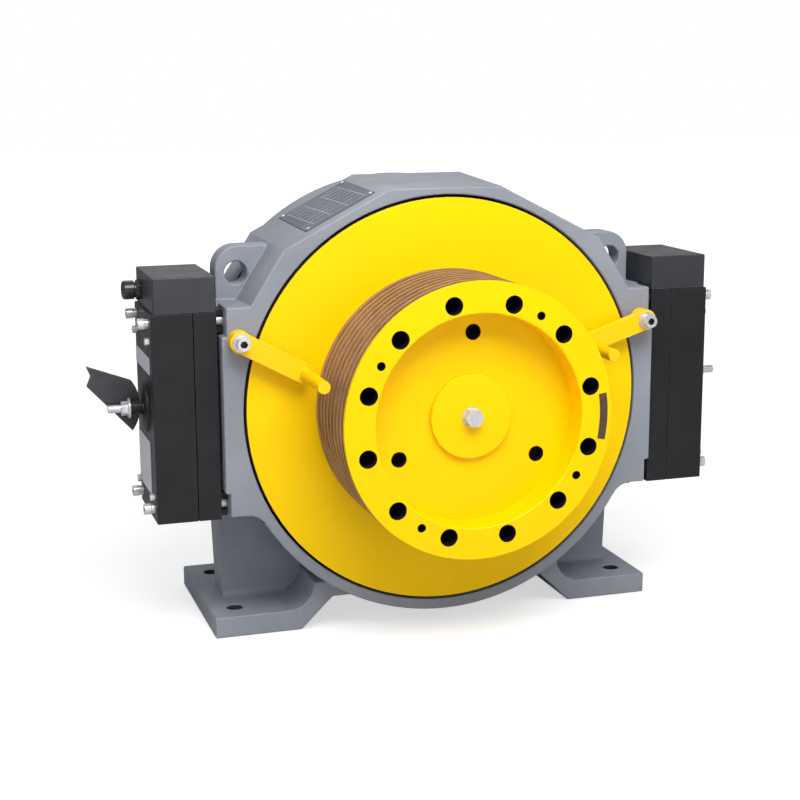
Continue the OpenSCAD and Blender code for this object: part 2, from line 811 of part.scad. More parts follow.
// Stacks of disc springs that press the armature towards the drum
module brake_springs() {
    disc_h = 4;
    count = 9;
    zigzag = [for (i = [0 : count]) [i % 2 == 0 ? spring_r : spring_r - 3, i * disc_h]];
    color(BARE_STEEL) spring_places() translate([yoke_x0 + run_gap, 0, shaft_h]) rotate([0, 90, 0])
        rotate_extrude($fn = 36) polygon(concat([[4, 0]], zigzag, [[4, count * disc_h]]));
}

// Thin-walled cover over the brake wiring, open below where it stands on the yoke
module junction_cover() {
    wall = 3;
    collar = 4;
    color(BRAKE_BLACK) difference() {
        union() {
            box(armature_x0, cover_x1, brake_y0, brake_y1, cover_z0, cover_z0 + cover_h);
            box(yoke_x0 + collar, cover_x1 - collar, brake_y0 + collar, brake_y1 - collar,
                yoke_top + seat_gap, cover_z0 + past);
        }
        box(armature_x0 + wall, cover_x1 - wall, brake_y0 + wall, brake_y1 - wall,
            cover_z0 + wall, cover_z0 + cover_h - wall);
        box(yoke_x0 + collar + wall, cover_x1 - collar - wall,
            brake_y0 + collar + wall, brake_y1 - collar - wall,
            yoke_top - past, cover_z0 + wall + past);
        bar_x(cover_x1 - wall - past, cover_x1 + past, gland_y, gland_z, 8);
    }
}

module cable_gland() {
    color(PLASTIC_BLACK) translate([cover_x1 + seat_gap, gland_y, shaft_h + gland_z])
        rotate([0, 90, 0]) gland(gland_r, 8 - seat_gap);
}

module brake_armature() {
    color(BRAKE_BLACK) difference() {
        union() {
            box(armature_x0, armature_x1, brake_y0, brake_y1, -brake_h / 2, yoke_top);
            box(lining_r + lining_t, armature_x0 + past, brake_cy - shoe_w / 2, brake_cy + shoe_w / 2,
                -shoe_h / 2, shoe_h / 2);
        }
        ring(brake_cy - shoe_w / 2 - past, brake_cy + shoe_w / 2 + past, lining_r + lining_t);
        brake_corners() bar_x(armature_x0 - past, armature_x1 + past, 0, 0, sleeve_hole_d / 2);
        bar_x(armature_x1 - 18, armature_x1 + past, brake_cy, release_up, stud_r + seat_gap);
    }
}

module brake_lining() {
    color(LINING_BROWN) intersection() {
        ring(brake_cy - shoe_w / 2, brake_cy + shoe_w / 2, lining_r + lining_t - seat_gap, lining_r);
        box(0, rotor_r * 1.2, brake_y0, brake_y1, -shoe_h / 2, shoe_h / 2);
    }
}

module release_stud() {
    color(BARE_STEEL) bar_x(armature_x1 - 17, stud_end_x, brake_cy, release_up, stud_r);
}

module release_nut() {
    x0 = nut_seat_x + 3;
    color(BARE_STEEL) difference() {
        union() {
            translate([x0, brake_cy, shaft_h + release_up]) rotate([0, 90, 0]) hex(19, 10);
            bar_x(x0 - 3, x0, brake_cy, release_up, release_washer_r);
        }
        bar_x(x0 - 4, x0 + 11, brake_cy, release_up, stud_r + seat_gap);
    }
}

module left_brake_yoke() { left_side() brake_yoke(); }
module left_brake_coils() { left_side() brake_coils(); }
module left_brake_springs() { left_side() brake_springs(); }
module left_junction_cover() { left_side() junction_cover(); }
module left_cable_gland() { left_side() cable_gland(); }
module left_brake_armature() { left_side() brake_armature(); }
module left_brake_lining() { left_side() brake_lining(); }
module left_release_stud() { left_side() release_stud(); }
module left_release_nut() { left_side() release_nut(); }
module right_brake_yoke() { brake_yoke(); }
module right_brake_coils() { brake_coils(); }
module right_brake_springs() { brake_springs(); }
module right_junction_cover() { junction_cover(); }
module right_cable_gland() { cable_gland(); }
module right_brake_armature() { brake_armature(); }
module right_brake_lining() { brake_lining(); }
module right_release_stud() { release_stud(); }
module right_release_nut() { release_nut(); }

// Two blank plates on the outer face of the left brake
module left_brake_labels() {
    label_t = 0.8;
    color(LABEL_GREY) left_side() difference() {
        union() {
            box(yoke_x1 + seat_gap, yoke_x1 + label_t, brake_y0 + 22, brake_y1 - 3,
                release_up + boss_r + 19, release_up + boss_r + 44);
            box(yoke_x1 + seat_gap, yoke_x1 + label_t, brake_y0 + 42, brake_y1 - 3,
                14 - screw_dz, release_up - boss_r - 9);
        }
        cover_screw_places() translate([0, 0, -past]) cylinder(h = 4, r = 7, $fn = hole_fn);
    }
}

module brake_mounting_screws() {
    head_x = yoke_x1 + 6;
    color(BARE_STEEL) both_sides() brake_corners() {
        bar_x(notch_x - 20, head_x + 1, 0, 0, brake_screw_d / 2);
        bar_x(yoke_x1 + seat_gap, head_x, 0, 0, brake_screw_d * 0.72);
        translate([head_x, 0, shaft_h]) rotate([0, -90, 0]) socket_head(brake_screw_d, brake_screw_d);
    }
}

module brake_hollow_sleeves() {
    color(BARE_STEEL) both_sides() brake_corners() difference() {
        bar_x(notch_x + seat_gap, yoke_x0 - seat_gap, 0, 0, sleeve_d / 2);
        bar_x(notch_x - past, yoke_x0 + past, 0, 0, brake_screw_d / 2 + seat_gap);
    }
}

module brake_spacer_lugs() {
    x0 = notch_x + seat_gap;
    x1 = armature_x0 - run_gap;
    lug_h = 9;
    half = sleeve_d / 2 + 0.8;
    color(BRAKE_BLACK) both_sides() brake_corners() for (z = [-half - lug_h, half])
        translate([x0, -8, shaft_h + z]) cube([x1 - x0, 20, lug_h]);
}

// Places of the small hexagon screws on the outer face of a brake
module cover_screw_places() {
    for (sy = [-1, 1], z = [screw_dz - 25, 18 - screw_dz])
        translate([yoke_x1, brake_cy + sy * (screw_dy + 4), shaft_h + z]) rotate([0, 90, 0]) children();
}

module brake_cover_screws() {
    color(BARE_STEEL) both_sides() cover_screw_places() translate([0, 0, seat_gap]) hex(10, 7);
}

// ---- Release lever: a cam plate on a cross pin through the bush on the stud ----

module left_lever_pivot() {
    bush_r = 10.5;
    color(BRAKE_BLACK) left_side() {
        difference() {
            bar_x(yoke_x1 + boss_t + 0.8, nut_seat_x - seat_gap, brake_cy, release_up, bush_r);
            bar_x(yoke_x1, nut_seat_x + past, brake_cy, release_up, stud_r + seat_gap);
        }
        translate([lever_pivot_x, brake_cy + bush_r - 2, shaft_h + release_up]) rotate([-90, 0, 0])
            cylinder(h = lever_y0 + lever_t + 3 - brake_cy - bush_r + 2, r = lever_pin_r, $fn = hole_fn);
    }
}

module left_release_lever() {
    arc_a = asin(lever_half / cam_r);
    cam = [for (i = [-8 : 8]) [
        cam_x + cam_r - cam_r * cos(arc_a * i / 8), release_up + cam_r * sin(arc_a * i / 8)
    ]];
    tip_x = yoke_x1 + 82;
    color(BRAKE_BLACK) left_side() difference() {
        slab(lever_y0, lever_y0 + lever_t) polygon(concat(cam, [
            [tip_x, release_up + 62], [tip_x - 6, release_up + 47], [tip_x, release_up + 32]
        ]));
        translate([lever_pivot_x, lever_y0 - past, shaft_h + release_up]) rotate([-90, 0, 0])
            cylinder(h = lever_t + 2 * past, r = lever_pin_r + 0.08, $fn = hole_fn);
    }
}

// ---- Rotor ----

module rotor_drum() {
    color(MACHINE_YELLOW) difference() {
        union() {
            ring(face_y, face_y + drum_plate_t, rotor_r);
            ring(face_y + drum_plate_t - past, drum_back_y, rotor_r, drum_in_r);
            ring(face_y + drum_plate_t - past, hub_back_y, hub_r);
        }
        ring(face_y - past, hub_back_y + past, sheave_seat_r + seat_gap);
        for (i = [0 : sheave_bolt_count - 1])
            around_axis(face_y - past, bolt_circle_r, bolt_phase + 360 / sheave_bolt_count * i)
                cylinder(h = drum_plate_t + 2 * past, r = sheave_bolt_d / 2 + seat_gap, $fn = hole_fn);
        key_slot(face_y - past, hub_back_y + past);
    }
}

module rotor_magnets() {
    color(LAMINATION) difference() {
        ring(stator_y0, stator_y1, drum_in_r - seat_gap, drum_in_r - magnet_t);
        for (i = [0 : magnet_count / 2 - 1]) on_axis(stator_y0 - past) rotate(360 / magnet_count * i)
            translate([-rotor_r, -2, 0]) cube([2 * rotor_r, 4, stator_y1 - stator_y0 + 2 * past]);
    }
}

key_w = 25;
key_h = 14;

module key_slot(y0, y1) {
    box(-key_w / 2 - slot_gap, key_w / 2 + slot_gap, y0, y1, sheave_seat_r - 8, sheave_seat_r + 7);
}

module main_shaft() {
    color(BARE_STEEL) difference() {
        union() {
            ring(web_face_y + 2, hub_back_y + past, sheave_seat_r);
            ring(hub_back_y, front_bearing_y0, collar_r);
            ring(front_bearing_y0 - past, front_bearing_y1, front_shaft_d / 2);
            ring(front_bearing_y1 - past, rear_bearing_y0, max(front_shaft_d, rear_shaft_d + 6) / 2 - 1);
            ring(rear_bearing_y0 - past, nut_y1 + 2, rear_shaft_d / 2);
            ring(nut_y1, stub_end_y, stub_r);
        }
        key_slot(web_face_y, hub_back_y - 8);
        on_axis(web_face_y) cylinder(h = 44, r = end_bolt_d / 2 + seat_gap, $fn = hole_fn);
    }
}

module shaft_key() {
    key_z = sheave_seat_r - 7.5;
    color(BARE_STEEL) box(-key_w / 2, key_w / 2, web_face_y + 4, hub_back_y - 9, key_z, key_z + key_h);
}

module bearing_lock_nut() {
    color(BARE_STEEL) difference() {
        ring(nut_y0, nut_y1, nut_r, rear_shaft_d / 2 + seat_gap);
        for (i = [0 : 3]) on_axis(nut_y0 - past) rotate(90 * i)
            translate([nut_r - 4, -4, 0]) cube([8, 8, 16]);
    }
}

// ---- Traction sheave ----

module sheave_profile() {
    hub_wall = 26;
    difference() {
        union() {
            translate([rim_in_r, 0]) square([rim_t, sheave_w]);
            translate([sheave_seat_r + seat_gap, recess_depth])
                square([rim_in_r + past - sheave_seat_r - seat_gap, web_t]);
            translate([sheave_seat_r + seat_gap, recess_depth])
                square([hub_wall, sheave_w - recess_depth]);
        }
        for (i = [0 : rope_count - 1]) {
            y = sheave_w - 17 - i * groove_pitch;
            translate([sheave_r - groove_sink, y]) circle(r = groove_r, $fn = 40);
            translate([sheave_r - undercut_depth, y - undercut_w / 2]) square([undercut_depth + past, undercut_w]);
        }
        translate([rim_in_r - past, -past]) polygon([[0, 0], [4, 0], [0, 4]]);
    }
}

module traction_sheave() {
    color(MACHINE_YELLOW) difference() {
        on_axis(sheave_face_y) rotate_extrude($fn = 180) sheave_profile();
        for (i = [0 : sheave_bolt_count - 1]) {
            angle = bolt_phase + 360 / sheave_bolt_count * i;
            around_axis(sheave_face_y - past, bolt_circle_r, angle)
                cylinder(h = well_depth + past, r = bolt_well_d / 2, $fn = 40);
            around_axis(sheave_face_y, bolt_circle_r, angle)
                cylinder(h = sheave_w + past, r = sheave_bolt_d / 2 + 0.5, $fn = hole_fn);
        }
        for (i = [0 : 3]) around_axis(sheave_face_y - past, bolt_circle_r, jack_phase + 90 * i)
            cylinder(h = 45, r = jack_hole_d / 2, $fn = hole_fn);
        for (i = [0 : 2]) around_axis(web_face_y - past, web_hole_r, 88 + 120 * i)
            cylinder(h = web_t + 2 * past, r = web_hole_d / 2, $fn = 40);
        key_slot(web_face_y - past, face_y + past);
    }
}

module sheave_bolts() {
    head_h = sheave_bolt_d;
    seat_y = sheave_face_y + well_depth;
    color(BARE_STEEL) for (i = [0 : sheave_bolt_count - 1]) {
        angle = bolt_phase + 360 / sheave_bolt_count * i;
        around_axis(seat_y, bolt_circle_r, angle) difference() {
            union() {
                translate([0, 0, -head_h]) cylinder(h = head_h, r = sheave_bolt_d * 0.75, $fn = hole_fn);
                translate([0, 0, -past])
                    cylinder(h = sheave_w - well_depth + 18, r = sheave_bolt_d / 2, $fn = hole_fn);
            }
            translate([0, 0, -head_h - past]) hex(sheave_bolt_d * 0.86, head_h * 0.6);
        }
    }
}

module shaft_end_plate() {
    color(MACHINE_YELLOW)
        ring(web_face_y - end_plate_t, web_face_y - seat_gap, end_plate_r, end_bolt_d / 2 + 0.5);
}

module shaft_end_bolt() {
    head_y = web_face_y - end_plate_t;
    color(BARE_STEEL) {
        on_axis(head_y - past) cylinder(h = 46, r = end_bolt_d / 2, $fn = hole_fn);
        on_axis(head_y - 3) cylinder(h = 3, r = end_bolt_d * 0.94, $fn = 48);
        on_axis(head_y - 15) hex(end_bolt_d * 1.5, 12.5);
    }
}

// Bare strip on the sheave face, between two bolt wells
module sheave_mark_strip() {
    reach = sheave_r * 1.3;
    half = strip_span / 2;
    mid = bolt_phase - 15;
    color(RUST_BROWN) intersection() {
        ring(sheave_face_y - strip_t, sheave_face_y - seat_gap, strip_r + strip_w / 2, strip_r - strip_w / 2);
        slab(sheave_face_y - 3, sheave_face_y + 3) polygon([
            [0, 0],
            [reach * cos(mid - half), reach * sin(mid - half)],
            [reach * cos(mid + half), reach * sin(mid + half)]
        ]);
    }
}

// ---- Rope guards ----

// One swivelling guard: boss, flat arm and rod; side is 1 on the right and -1 on the left
module rope_guard(side, rod_angle) {
    pivot = [side * guard_bolt_x, guard_bolt_z];
    rod = [guard_r * cos(rod_angle), guard_r * sin(rod_angle)];
    reach = norm(rod - pivot);
    tilt = atan2(rod[1] - pivot[1], rod[0] - pivot[0]);
    boss_y = face_y - 0.5 - guard_boss_len;
    color(MACHINE_YELLOW) difference() {
        union() {
            translate([pivot[0], boss_y, shaft_h + pivot[1]]) rotate([-90, 0, 0])
                cylinder(h = guard_boss_len, r = guard_boss_r, $fn = 64);
            slab(boss_y, boss_y + guard_arm_t) translate(pivot) rotate(tilt) {
                translate([0, -guard_arm_w / 2]) square([reach, guard_arm_w]);
                translate([reach, 0]) circle(r = guard_arm_w / 2, $fn = 64);
            }
            translate([rod[0], face_y - 16 - guard_rod_len, shaft_h + rod[1]]) rotate([-90, 0, 0])
                cylinder(h = guard_rod_len, r = guard_rod_d / 2, $fn = 48);
        }
        translate([pivot[0], boss_y - past, shaft_h + pivot[1]]) rotate([-90, 0, 0])
            cylinder(h = guard_boss_len + 2 * past, r = 6.05, $fn = hole_fn);
    }
}

module left_rope_guard() { rope_guard(-1, left_rod_angle); }
module right_rope_guard() { rope_guard(1, right_rod_angle); }

module guard_bolts() {
    head_y = face_y - 0.5 - guard_boss_len - 6;
    color(BARE_STEEL) both_sides()
        translate([guard_bolt_x, head_y, shaft_h + guard_bolt_z]) rotate([-90, 0, 0]) {
            translate([0, 0, -past]) cylinder(h = guard_boss_len + 28, r = 6, $fn = hole_fn);
            socket_head(12, 12);
        }
}

module guard_washers() {
    head_y = face_y - 0.5 - guard_boss_len - 6;
    color(BARE_STEEL) both_sides() translate([guard_bolt_x, head_y + seat_gap, shaft_h + guard_bolt_z])
        rotate([-90, 0, 0]) difference() {
            union() {
                cylinder(h = 2.6, r = 10.5, $fn = 48);
                translate([0, 0, 2.5]) cylinder(h = 3.1, r = 13, $fn = 48);
            }
            translate([0, 0, -past]) cylinder(h = 8, r = 6 + seat_gap, $fn = hole_fn);
        }
}

housing();
stator_core();
stator_windings();
front_bearing_outer_ring();
rear_bearing_outer_ring();
shaft_seal();
rear_bearing_cover();
rear_cover_screws();
encoder();
encoder_cover();
terminal_box();
terminal_box_lid();
small_cover_screws();
terminal_box_glands();
terminal_block();
nameplate();
nameplate_rivets();
left_brake_yoke();
left_brake_coils();
left_brake_springs();
left_junction_cover();
left_cable_gland();
left_brake_labels();
right_brake_yoke();
right_brake_coils();
right_brake_springs();
right_junction_cover();
right_cable_gland();
brake_mounting_screws();
brake_hollow_sleeves();
brake_spacer_lugs();
brake_cover_screws();
guard_bolts();
guard_washers();
left_brake_armature();
left_brake_lining();
left_release_stud();
left_release_nut();
right_brake_armature();
right_brake_lining();
right_release_stud();
right_release_nut();
left_lever_pivot();
left_release_lever();
rotor_drum();
rotor_magnets();
main_shaft();
shaft_key();
traction_sheave();
sheave_bolts();
shaft_end_plate();
shaft_end_bolt();
sheave_mark_strip();
front_bearing_inner_ring();
front_bearing_balls();
rear_bearing_inner_ring();
rear_bearing_balls();
bearing_lock_nut();
left_rope_guard();
right_rope_guard();
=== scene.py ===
import json
from math import cos, hypot, radians, sin
import bmesh
import bpy
from mathutils import Matrix, Vector

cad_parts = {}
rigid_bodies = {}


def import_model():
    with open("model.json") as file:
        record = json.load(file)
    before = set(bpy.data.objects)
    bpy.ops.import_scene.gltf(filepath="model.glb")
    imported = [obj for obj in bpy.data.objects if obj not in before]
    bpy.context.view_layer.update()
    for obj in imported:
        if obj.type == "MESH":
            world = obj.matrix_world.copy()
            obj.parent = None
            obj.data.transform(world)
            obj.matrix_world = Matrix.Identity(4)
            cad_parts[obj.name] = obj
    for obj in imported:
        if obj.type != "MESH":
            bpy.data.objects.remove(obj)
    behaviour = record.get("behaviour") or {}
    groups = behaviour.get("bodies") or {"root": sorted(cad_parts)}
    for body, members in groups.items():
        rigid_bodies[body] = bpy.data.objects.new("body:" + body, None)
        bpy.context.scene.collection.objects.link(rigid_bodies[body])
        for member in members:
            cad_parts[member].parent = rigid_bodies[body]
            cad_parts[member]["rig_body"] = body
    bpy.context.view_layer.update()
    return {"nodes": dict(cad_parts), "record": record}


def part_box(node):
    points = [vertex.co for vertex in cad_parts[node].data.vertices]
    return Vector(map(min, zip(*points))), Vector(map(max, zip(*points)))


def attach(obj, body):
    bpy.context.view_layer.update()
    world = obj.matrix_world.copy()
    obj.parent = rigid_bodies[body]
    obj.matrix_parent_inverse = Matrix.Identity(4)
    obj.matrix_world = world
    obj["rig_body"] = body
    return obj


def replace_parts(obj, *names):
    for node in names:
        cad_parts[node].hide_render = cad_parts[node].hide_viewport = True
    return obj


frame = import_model()


# ---- Camera ----
# The machine is seen from its front left and a little above, from about two and a half
# metres away, through a long lens.
camera_place = Vector((-0.7752, -2.3880, 0.8407))
turned_right = radians(17.59)
tipped_down = radians(11.86)
rolled = radians(-0.27)
ahead = Vector((sin(turned_right) * cos(tipped_down),
                cos(turned_right) * cos(tipped_down), -sin(tipped_down)))
level = ahead.cross(Vector((0, 0, 1))).normalized()
upward = level.cross(ahead)
camera = bpy.data.objects.new("camera", bpy.data.cameras.new("camera"))
bpy.context.scene.collection.objects.link(camera)
camera.data.lens = 72.49  # mm
camera.data.sensor_width = 36  # mm
right = cos(rolled) * level + sin(rolled) * upward
up = cos(rolled) * upward - sin(rolled) * level
camera_turn = Matrix((right, up, -ahead)).transposed().to_4x4()
camera.matrix_world = Matrix.Translation(camera_place) @ camera_turn
bpy.context.scene.camera = camera


# ---- Studio ----
# A white floor in an even white room, with a soft lamp high in front, a weaker one at each
# side and one behind. The floor keeps the shadow of the machine.
scene = bpy.context.scene
scene.view_settings.view_transform = "Standard"


def part_of(tree, kind, settings=None, **inputs):
    """Adds a shader node, with attributes from settings and input values or links.

    An input goes by its label, or by its number as in i0 where labels repeat.
    """
    made = tree.nodes.new("ShaderNode" + kind)
    for key, value in (settings or {}).items():
        setattr(made, key, value)
    for key, value in inputs.items():
        numbered = key[0] == "i" and key[1:].isdigit()
        socket = made.inputs[int(key[1:]) if numbered else key.replace("_", " ")]
        if isinstance(value, bpy.types.NodeSocket):
            tree.links.new(value, socket)
        else:
            socket.default_value = value
    return made


def lamp(name, place, aim, size, watts):
    """A white rectangular lamp at a place, turned towards another."""
    light = bpy.data.lights.new(name, "AREA")
    light.shape = "RECTANGLE"
    light.size, light.size_y = size
    light.energy = watts
    holder = bpy.data.objects.new(name, light)
    scene.collection.objects.link(holder)
    holder.location = place
    holder.rotation_euler = (Vector(aim) - Vector(place)).to_track_quat("-Z", "Y").to_euler()


lamp("high_front_lamp", (-0.1, -1.25, 1.75), (0, -0.17, 0.5), (1.5, 0.9), 36)
lamp("front_lamp", (-0.1, -3.0, 0.4), (0, -0.17, 0.1), (2.0, 0.7), 8)
lamp("left_lamp", (-2.0, -1.2, 1.9), (0, -0.1, 0.5), (1.4, 1.2), 9)
lamp("right_lamp", (2.4, -1.4, 1.0), (0, 0, 0.3), (1.4, 1.6), 9)
lamp("rear_lamp", (0.4, 2.4, 2.6), (0, 0, 0.35), (2.4, 1.6), 16)

room = bpy.data.worlds.new("white_room")
scene.world = room
room.use_nodes = True
room.node_tree.nodes.clear()
seen = part_of(room.node_tree, "LightPath")
soft_light = part_of(room.node_tree, "Background", Color=(0.95, 0.97, 1, 1), Strength=0.33)
white = part_of(room.node_tree, "Background", Color=(1, 1, 1, 1), Strength=1.0)
either = part_of(room.node_tree, "MixShader", i0=seen.outputs["Is Camera Ray"],
                 i1=soft_light.outputs[0], i2=white.outputs[0])
part_of(room.node_tree, "OutputWorld", Surface=either.outputs[0])

floor_mesh = bpy.data.meshes.new("studio_floor")
reach = 14
under_the_feet = 0.0005
floor_mesh.from_pydata([(-reach, -reach, 0), (reach, -reach, 0),
                        (reach, reach, 0), (-reach, reach, 0)], [], [(0, 1, 2, 3)])
floor = bpy.data.objects.new("studio_floor", floor_mesh)
scene.collection.objects.link(floor)
floor.location.z = -under_the_feet
floor_paint = bpy.data.materials.new("studio_floor")
floor_paint.use_nodes = True
tree = floor_paint.node_tree
tree.nodes.clear()
seen = part_of(tree, "LightPath")
matt = part_of(tree, "BsdfDiffuse", Color=(0.64, 0.64, 0.64, 1))
# the floor turns to plain white between these distances from the machine
glow_starts, glow_full = 0.9, 4.0
away = part_of(tree, "VectorMath", {"operation": "LENGTH"},
               i0=part_of(tree, "TexCoord").outputs["Object"])
far_glow = part_of(tree, "MapRange", i0=away.outputs["Value"], i1=glow_starts,
                   i2=glow_full, i3=0.6, i4=0.95)
glow_level = part_of(tree, "Math", {"operation": "MULTIPLY"}, i0=seen.outputs["Is Camera Ray"],
                     i1=far_glow.outputs[0])
glow = part_of(tree, "Emission", Color=(1, 1, 1, 1), Strength=glow_level.outputs[0])
both = part_of(tree, "AddShader", i0=matt.outputs[0], i1=glow.outputs[0])
part_of(tree, "OutputMaterial", Surface=both.outputs[0])
floor_mesh.materials.append(floor_paint)


# ---- Housing ----
# One grey iron casting with the stator ring, two legs on wide feet and two lifting ears.
# Sand cast with rounded edges and filleted corners, then sprayed with grey machine paint.
shaft_height = (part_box("rotor_drum")[0].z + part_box("rotor_drum")[1].z) / 2
join_distance = 2e-6  # points closer than this are one point


def clean_mesh(name, verts, faces):
    """A new object in the scene from points and faces."""
    mesh = bpy.data.meshes.new(name)
    mesh.from_pydata(verts, [], faces)
    piece = bpy.data.objects.new(name, mesh)
    scene.collection.objects.link(piece)
    return piece


def taken_from(node, name, flat=0.6):
    """A new piece with the shape of a CAD node, its points joined and flat faces merged."""
    source = frame["nodes"][node].data
    piece = clean_mesh(name, [v.co for v in source.vertices],
                       [tuple(f.vertices) for f in source.polygons])
    bm = bmesh.new()
    bm.from_mesh(piece.data)
    bmesh.ops.remove_doubles(bm, verts=bm.verts, dist=join_distance)
    bmesh.ops.dissolve_limit(bm, angle_limit=radians(flat), verts=bm.verts, edges=bm.edges)
    bm.to_mesh(piece.data)
    bm.free()
    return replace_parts(piece, node)


def rounded(piece, width, steps=2, sharp=32, pick=None):
    """Rounds the sharp edges that pick accepts, but not where two meet in a narrow corner."""
    narrowest = radians(30)
    bm = bmesh.new()
    bm.from_mesh(piece.data)
    bm.normal_update()
    chosen = {e for e in bm.edges if len(e.link_faces) == 2
              and e.calc_face_angle(0) > radians(sharp) and (pick is None or pick(e))}
    narrow = {e for face in bm.faces for loop in face.loops if loop.calc_angle() < narrowest
              and {loop.edge, loop.link_loop_prev.edge} <= chosen
              for e in (loop.edge, loop.link_loop_prev.edge)}
    edges = [e for e in bm.edges if e in chosen and e not in narrow]
    bmesh.ops.bevel(bm, geom=edges, offset=width, offset_type="OFFSET", segments=steps,
                    profile=0.5, affect="EDGES", clamp_overlap=False,
                    miter_outer="SHARP", miter_inner="SHARP")
    bmesh.ops.remove_doubles(bm, verts=bm.verts, dist=join_distance)
    bm.to_mesh(piece.data)
    bm.free()
    return piece


def finished(piece, node, material, sharp=38):
    """Shades a piece smooth between its sharp edges and fixes it where a CAD node rides."""
    for face in piece.data.polygons:
        face.use_smooth = True
    piece.data.set_sharp_from_angle(angle=radians(sharp))
    piece.data.materials.append(material)
    even = piece.modifiers.new("even_shading", "WEIGHTED_NORMAL")
    even.keep_sharp = True
    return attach(piece, frame["nodes"][node]["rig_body"])


def shaped(node, name, edge, material, steps=2, sharp=32, flat=0.6, pick=None):
    """A finished piece made from a CAD node, with its edges broken by the given width."""
    piece = rounded(taken_from(node, name, flat), edge, steps, sharp, pick)
    return finished(piece, node, material)


def repainted(piece, material, test):
    """Gives the faces that test accepts, by centre and normal, another material."""
    piece.data.materials.append(material)
    new_slot = len(piece.data.materials) - 1
    for face in piece.data.polygons:
        if test(face.center, face.normal):
            face.material_index = new_slot


def shader_group(name, wanted, given):
    """An empty shader group with its inputs and outputs, as (name, kind, default)."""
    tree = bpy.data.node_groups.new(name, "ShaderNodeTree")
    for label, kind, value in wanted:
        socket = tree.interface.new_socket(label, in_out="INPUT",
                                           socket_type="NodeSocket" + kind)
        socket.default_value = value
    for label, kind in given:
        tree.interface.new_socket(label, in_out="OUTPUT", socket_type="NodeSocket" + kind)
    start = tree.nodes.new("NodeGroupInput")
    end = tree.nodes.new("NodeGroupOutput")
    return tree, start.outputs, end.inputs


def noise(tree, where, scale, detail, roughness):
    """Soft clouds of light and dark, from 0 to 1."""
    return part_of(tree, "TexNoise", Vector=where, Scale=scale, Detail=detail,
                   Roughness=roughness).outputs["Fac"]


def spread(tree, value, low, high, to_low=0.0, to_high=1.0):
    """Stretches the span low to high of a value to another span."""
    return part_of(tree, "MapRange", i0=value, i1=low, i2=high,
                   i3=to_low, i4=to_high).outputs[0]


def worked_out(tree, kind, a, b):
    """The result of one step of arithmetic on two values."""
    return part_of(tree, "Math", {"operation": kind}, i0=a, i1=b).outputs[0]


# two shades of one colour in soft patches, as in paint that went on unevenly
tree, start, end = shader_group("shade_patches", [
    ("Shade", "Color", (0.5, 0.5, 0.5, 1)), ("Other Shade", "Color", (0.4, 0.4, 0.4, 1)),
    ("Scale", "Float", 8.0)], [("Colour", "Color")])
where = part_of(tree, "TexCoord").outputs["Object"]
patch = spread(tree, noise(tree, where, start["Scale"], 4.0, 0.62), 0.32, 0.68)
mixed = part_of(tree, "Mix", {"data_type": "RGBA"}, i0=patch,
                i6=start["Shade"], i7=start["Other Shade"])
tree.links.new(mixed.outputs[2], end["Colour"])

# a gloss that changes a little from place to place
tree, start, end = shader_group("gloss_patches", [
    ("Low", "Float", 0.3), ("High", "Float", 0.45),
    ("Scale", "Float", 14.0)], [("Value", "Float")])
where = part_of(tree, "TexCoord").outputs["Object"]
clouds = noise(tree, where, start["Scale"], 5.0, 0.6)
tree.links.new(spread(tree, clouds, 0.3, 0.7, start["Low"], start["High"]), end["Value"])

# the grain that the sand mould leaves under the paint
tree, start, end = shader_group(
    "sand_cast_skin", [("Grain", "Float", 380.0)], [("Height", "Float")])
where = part_of(tree, "TexCoord").outputs["Object"]
fine = noise(tree, where, start["Grain"], 2.0, 0.5)
broad = noise(tree, where, worked_out(tree, "MULTIPLY", start["Grain"], 0.12), 2.0, 0.5)
stronger = worked_out(tree, "MULTIPLY", broad, 1.8)
tree.links.new(worked_out(tree, "ADD", fine, stronger), end["Height"])

# the shallow ripple of sprayed gloss paint
tree, start, end = shader_group(
    "spray_ripple", [("Ripple", "Float", 240.0)], [("Height", "Float")])
where = part_of(tree, "TexCoord").outputs["Object"]
tree.links.new(noise(tree, where, start["Ripple"], 1.0, 0.4), end["Height"])

# fine rings round the shaft, left by the lathe tool
tree, start, end = shader_group(
    "lathe_rings", [("Rings", "Float", 900.0)], [("Height", "Float")])
where = part_of(tree, "SeparateXYZ", Vector=part_of(tree, "TexCoord").outputs["Object"])
rise = worked_out(tree, "SUBTRACT", where.outputs["Z"], shaft_height)
flat_place = part_of(tree, "CombineXYZ", X=where.outputs["X"], Y=0.0, Z=rise)
out_from_shaft = part_of(tree, "VectorMath", {"operation": "LENGTH"},
                         i0=flat_place.outputs[0]).outputs["Value"]
along = worked_out(tree, "ADD", out_from_shaft, where.outputs["Y"])
line = part_of(tree, "TexNoise", {"noise_dimensions": "1D"},
               W=worked_out(tree, "MULTIPLY", along, start["Rings"]),
               Scale=1.0, Detail=2.0, Roughness=0.7)
tree.links.new(line.outputs["Fac"], end["Height"])

# paint worn thin on the corners
tree, start, end = shader_group("worn_corners", [("Amount", "Float", 0.6)], [("Mask", "Float")])
where = part_of(tree, "TexCoord").outputs["Object"]
bent = part_of(tree, "Bevel", {"samples": 4}, Radius=0.003).outputs["Normal"]
straight = part_of(tree, "NewGeometry").outputs["Normal"]
turn = part_of(tree, "VectorMath", {"operation": "DOT_PRODUCT"},
               i0=bent, i1=straight).outputs["Value"]
corner = spread(tree, turn, 0.985, 0.86)
chips = spread(tree, noise(tree, where, 90.0, 5.0, 0.7), 0.42, 0.62)
chipped = worked_out(tree, "MULTIPLY", corner, chips)
tree.links.new(worked_out(tree, "MULTIPLY", chipped, start["Amount"]), end["Mask"])

